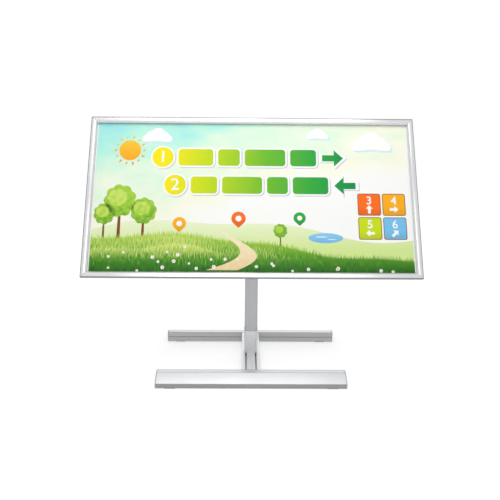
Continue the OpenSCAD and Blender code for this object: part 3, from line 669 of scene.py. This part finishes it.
def draw_sky():
    whole = rounded_box(LEFT, FLOOR, RIGHT, TOP, radius=0.001, steps=1)
    printed("poster_sky", [whole], 0, sky_ink("ink_sky"))
    u, v, radius, rays, spread = -0.452, 0.176, 0.040, 14, math.radians(6)
    near, far_by_turns = 1.22, (1.46, 1.62)
    sun = [circle(u, v, radius)]
    for i in range(rays):
        far = far_by_turns[i % 2]
        sun.append(ray(u, v, radius * near, radius * far, 2 * math.pi * i / rays, spread))
    sun_ink = ink("ink_sun", fade((255, 160, 20), (255, 206, 50)), low=0.12, high=0.22)
    printed("poster_sun", sun, 2, sun_ink)
    right, down = 0.005, 0.006
    clouds = [(-0.355, 0.226, 0.034), (0.44, 0.20, 0.046), (0.24, 0.238, 0.026)]
    for i, (u, v, size) in enumerate(clouds):
        shade = ink(f"ink_cloud_{i}", fade((186, 220, 236), (214, 238, 246)))
        printed(f"poster_cloud_shade_{i}", [cloud(u + right, v - down, size)], 2, shade)
        printed(f"poster_cloud_{i}", [cloud(u, v, size)], 3, white_ink)


def draw_ground():
    far = ink("ink_far_hill", fade((214, 236, 150), (240, 248, 214)), low=-0.2, high=-0.09)
    printed("poster_far_hill", [hill(hill_back)], 1, far)
    back = blade_ink("ink_grass_back", (70, 140, 26), (150, 200, 50), low=-0.24, high=-0.12)
    middle = blade_ink("ink_grass_middle", (40, 112, 20), (104, 172, 34), low=-0.27, high=-0.15)
    front = blade_ink("ink_grass_front", (22, 84, 16), (70, 146, 26), low=-0.29, high=-0.19)
    printed("poster_grass_back", grass(hill_near, 420, tall=0.022, lean=0.5), 3, back)
    printed("poster_grass_middle", grass(hill_middle, 380, tall=0.024, lean=0.6), 4, middle)
    printed("poster_grass_front", grass(hill_front, 340, tall=0.03, lean=0.6), 5, front)


def draw_trees():
    trunk = ink("ink_trunk", fade((110, 60, 22), (160, 96, 40)), mottle=0.3)
    trees = [(-0.478, -0.020, 0.052), (-0.392, -0.058, 0.042), (-0.532, -0.070, 0.034),
             (0.1, -0.13, 0.022)]
    buried, stout, taper = 0.004, 0.12, 0.6
    # The light patch on a crown: how far left and up it lies, and its size
    left, up, patch = 0.18, 0.22, 0.62
    for i, (u, v, size) in enumerate(trees):
        root, half = hill_near(u) - buried, size * stout
        stem = [(u - half, root), (u + half, root), (u + half * taper, v), (u - half * taper, v)]
        printed(f"poster_trunk_{i}", [stem], 2, trunk)
        whole = crown(u, v, size, lobes=9, squash=1.06, phase=i)
        light = crown(u - size * left, v + size * up, size * patch, lobes=7, squash=0.9, phase=i)
        printed(f"poster_crown_{i}", [whole], 6, leaf_ink)
        printed(f"poster_crown_light_{i}", [light], 7, light_leaf_ink)


def draw_rows():
    """Two rows of blank name blocks, each with a numeral and an arrow."""
    rows = [("1", -0.330, 0.150, (0.128, 0.080, 0.150, 0.096), 0),
            ("2", -0.282, 0.042, (0.096, 0.146, 0.076, 0.130), 180)]
    tall, gap, rim, drop = 0.078, 0.018, 0.006, 0.0035
    # Shares of the row's height
    half_block, corner, arrow_place, digit = 0.42, 0.16, 0.55, 0.6
    arrow_rim = 1.3
    shapes, rims, shades = [], [], []
    for text, start, v, widths, angle in rows:
        shapes.append(circle(start, v, tall / 2))
        rims.append(circle(start, v, tall / 2 + rim))
        shades.append(circle(start + drop, v - drop, tall / 2 + rim))
        low, high = v - tall * half_block, v + tall * half_block
        u = start + tall / 2 + gap
        for width in widths:
            shapes.append(rounded_box(u, low, u + width, high, tall * corner))
            edge = (u - rim, low - rim, u + width + rim, high + rim)
            rims.append(rounded_box(*edge, tall * corner + rim))
            moved = (edge[0] + drop, edge[1] - drop, edge[2] + drop, edge[3] - drop)
            shades.append(rounded_box(*moved, tall * corner + rim))
            u += width + gap
        centre = u + tall * arrow_place
        shapes.append(arrow(centre, v, tall, angle))
        rims.append(arrow(centre, v, tall * arrow_rim, angle))
        shades.append(arrow(centre + drop, v - drop, tall * arrow_rim, angle))
    printed("poster_row_shades", shades, 4, shade_ink)
    printed("poster_row_rims", rims, 5, white_ink)
    printed("poster_row_blocks", shapes, 6, title_ink)
    for text, start, v, *_ in rows:
        number(f"poster_row_number_{text}", text, start, v, tall * digit, grow=0.0004, level=8)


def draw_tiles():
    """Four plain tiles in a square, each with a numeral and an arrow."""
    tiles = [("3", ORANGE, 90), ("4", AMBER, 0), ("5", LIME, 180), ("6", BLUE, 45)]
    left, low, size, gap, rim = 0.384, -0.158, 0.078, 0.012, 0.003
    corner, rim_corner = 0.006, 0.008
    # Shares of a tile's size, and of its colour's light at the foot
    mark_height, number_height, mark = 0.27, 0.68, 0.4
    foot_light, foot_share = 0.82, 0.4
    rims, marks = [], []
    for i, (text, tone, angle) in enumerate(tiles):
        u, v = left + (i % 2) * (size + gap), low + (1 - i // 2) * (size + gap)
        stops = [(0.0, darker(tone, foot_light)), (foot_share, tone), (1.0, tone)]
        fill = ink(f"ink_tile_{i}", stops, low=v, high=v + size, mottle=0.06)
        rims.append(rounded_box(u - rim, v - rim, u + size + rim, v + size + rim, rim_corner))
        printed(f"poster_tile_{i}", [rounded_box(u, v, u + size, v + size, corner)], 7, fill)
        marks.append(arrow(u + size / 2, v + size * mark_height, size * mark, angle))
        number(f"poster_tile_number_{text}", text, u + size / 2, v + size * number_height,
               size * mark, grow=0.0005, level=9)
    printed("poster_tile_rims", rims, 6, ink("ink_rim", fade((150, 84, 50), (176, 110, 60))))
    printed("poster_tile_arrows", marks, 8, white_ink)


def draw_pond_and_path():
    water = ink("ink_water", fade((96, 178, 232), (160, 214, 246)), low=-0.19, high=-0.12)
    printed("poster_pond", [circle(0.262, -0.156, 0.062, steps=48, squash=0.3)], 6, water)
    ripples = [circle(0.246, -0.152, 0.022, steps=32, squash=0.12),
               circle(0.284, -0.161, 0.016, steps=32, squash=0.12)]
    glint = ink("ink_ripple", fade((206, 236, 252), (226, 244, 253)))
    printed("poster_ripples", ripples, 7, glint)
    start_u, start_up, end_u, past_end, steps = -0.13, 0.014, -0.05, 0.03, 24
    swing, bends, first_bend, straighter, drift = 0.11, 3.4, 0.2, 0.35, 0.05
    half_near, half_far, narrowing = 0.05, 0.006, 1.4
    left, right = [], []
    for i in range(steps + 1):
        t = i / steps
        sway = swing * math.sin(bends * t + first_bend) * (1 - straighter * t)
        u = start_u + sway + drift * t
        v = FLOOR + start_up + t * (hill_near(end_u) - FLOOR + past_end)
        half = half_near * (1 - t) ** narrowing + half_far
        left.append((u - half, v))
        right.append((u + half, v))
    sand = ink("ink_path", fade((240, 214, 160), (252, 240, 208)), low=-0.28, high=-0.13,
               mottle=0.2)
    printed("poster_path", [right + left[::-1]], 6, sand)


def draw_pins():
    """Three plain map pins that mark places on the hills."""
    pins = [(-0.05, -0.085, 0.026, ORANGE), (0.17, -0.082, 0.022, GREEN),
            (-0.262, -0.105, 0.024, AMBER)]
    foot_light, foot_share, down, eye = 0.78, 0.6, 1.35, 0.42
    for i, (u, v, size, tone) in enumerate(pins):
        stops = [(0.0, darker(tone, foot_light)), (foot_share, tone), (1.0, tone)]
        fill = ink(f"ink_pin_{i}", stops, low=v - size * down, high=v + size)
        printed(f"poster_pin_{i}", [pin(u, v, size)], 8, fill)
        printed(f"poster_pin_eye_{i}", [circle(u, v, size * eye)], 9, white_ink)


def draw_flowers():
    flowers, leaves, petal_place, petal_size, heart_size = 26, 6, 0.8, 0.46, 0.42
    petals, hearts = [], []
    for _ in range(flowers):
        u = random.uniform(-0.55, 0.55)
        size = random.uniform(0.0035, 0.006)
        v = random.uniform(FLOOR + 2 * size, max(hill_front(u), FLOOR + 3 * size))
        for k in range(leaves):
            a = math.pi * k / (leaves / 2)
            petals.append(circle(u + size * petal_place * math.cos(a),
                                 v + size * petal_place * math.sin(a), size * petal_size, 12))
        hearts.append(circle(u, v, size * heart_size, 14))
    printed("poster_petals", petals, 8, white_ink)
    heart = ink("ink_heart", fade((255, 180, 20), (255, 200, 40)))
    printed("poster_flower_hearts", hearts, 9, heart)


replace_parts(paper_sheet(), "poster_sheet")
draw_sky()
draw_ground()
draw_trees()
draw_rows()
draw_tiles()
draw_pond_and_path()
draw_pins()
draw_flowers()


# Stage: floor, lamps, background and camera

WHITE = grey(1.0)


def seen_rays(g):
    """1 for what the camera sees, directly or in metal or through the clear sheet."""
    rays = g.node("ShaderNodeLightPath").outputs
    shiny = g.math("MAXIMUM", rays["Is Glossy Ray"], rays["Is Transmission Ray"])
    return g.math("MAXIMUM", rays["Is Camera Ray"], shiny)


def floor():
    """Pale floor that keeps the object's soft shadow and runs out to plain white."""
    half, glow_strength, tones = 30.0, 0.4, (grey(0.84), grey(0.88))
    fade_from, fade_to = 1.2, 4.0
    mesh = bpy.data.meshes.new("studio_floor")
    corners = [(-half, -half, 0), (half, -half, 0), (half, half, 0), (-half, half, 0)]
    mesh.from_pydata(corners, [], [(0, 1, 2, 3)])
    made, g = material("studio_floor")
    grain = g.noise(g.place(), scale=30.0, detail=4.0)
    diffuse = g.node("ShaderNodeBsdfDiffuse", {"Color": g.mix(grain, *tones)}).outputs[0]
    white = g.node("ShaderNodeEmission", {"Color": WHITE, "Strength": 1.0}).outputs[0]
    glow = g.node("ShaderNodeEmission", {"Color": WHITE, "Strength": glow_strength}).outputs[0]
    lifted = g.node("ShaderNodeAddShader", {0: diffuse, 1: glow}).outputs[0]
    away = g.node("ShaderNodeVectorMath", {0: g.place()}, operation="LENGTH").outputs["Value"]
    shown = g.node("ShaderNodeMixShader", {
        0: g.span(away, fade_from, fade_to), 1: lifted, 2: white}).outputs[0]
    mixed = g.node("ShaderNodeMixShader", {0: seen_rays(g), 1: diffuse, 2: shown}).outputs[0]
    g.node("ShaderNodeOutputMaterial", {"Surface": mixed})
    mesh.materials.append(made)
    piece = bpy.data.objects.new("studio_floor", mesh)
    bpy.context.scene.collection.objects.link(piece)


def lamp(name, place, target, width, height, radiance):
    """Soft area lamp of an even radiance, which a mirror would show at that value."""
    data = bpy.data.lights.new(name, "AREA")
    data.shape, data.size, data.size_y = "RECTANGLE", width, height
    data.energy = radiance * math.pi * width * height
    made = bpy.data.objects.new(name, data)
    made.location = place
    towards = Vector(target) - Vector(place)
    made.rotation_euler = towards.to_track_quat("-Z", "Y").to_euler()
    bpy.context.scene.collection.objects.link(made)


def background():
    """White wherever it is seen, and a softer even light on everything that is not shiny."""
    world = bpy.data.worlds.new("studio")
    bpy.context.scene.world = world
    world.use_nodes = True
    g = Graph(world.node_tree)
    even = g.node("ShaderNodeBackground", {"Color": WHITE, "Strength": 0.6}).outputs[0]
    white = g.node("ShaderNodeBackground", {"Color": WHITE, "Strength": 1.0}).outputs[0]
    mixed = g.node("ShaderNodeMixShader", {0: seen_rays(g), 1: even, 2: white}).outputs[0]
    g.node("ShaderNodeOutputWorld", {"Surface": mixed})


def camera():
    """Camera of the photograph, from a fit to the feet, the post and the panel."""
    place = Vector((-0.0322, -2.0514, 1.1147))
    down, right, roll = (math.radians(a) for a in (17.515, 0.715, 0.552))
    data = bpy.data.cameras.new("camera")
    data.sensor_width, data.lens = 36.0, 40.6
    made = bpy.data.objects.new("camera", data)
    made.matrix_world = (Matrix.Translation(place) @ Matrix.Rotation(-right, 4, "Z")
                         @ Matrix.Rotation(math.pi / 2 - down, 4, "X")
                         @ Matrix.Rotation(roll, 4, "Z"))
    bpy.context.scene.collection.objects.link(made)
    bpy.context.scene.camera = made


floor()
background()
lamp("overhead", place=(-0.04, -0.5, 2.6), target=(-0.03, -0.3, 0),
     width=1.66, height=1.4, radiance=2.75)
lamp("front", place=(0.0, -2.25, 2.35), target=(0, -0.1, 0.6),
     width=1.9, height=1.1, radiance=2.1)
lamp("rear", place=(0.0, 2.9, 1.45), target=(0, 0, 0.1),
     width=3.4, height=0.8, radiance=1.3)
camera()
bpy.context.scene.view_settings.view_transform = "Standard"
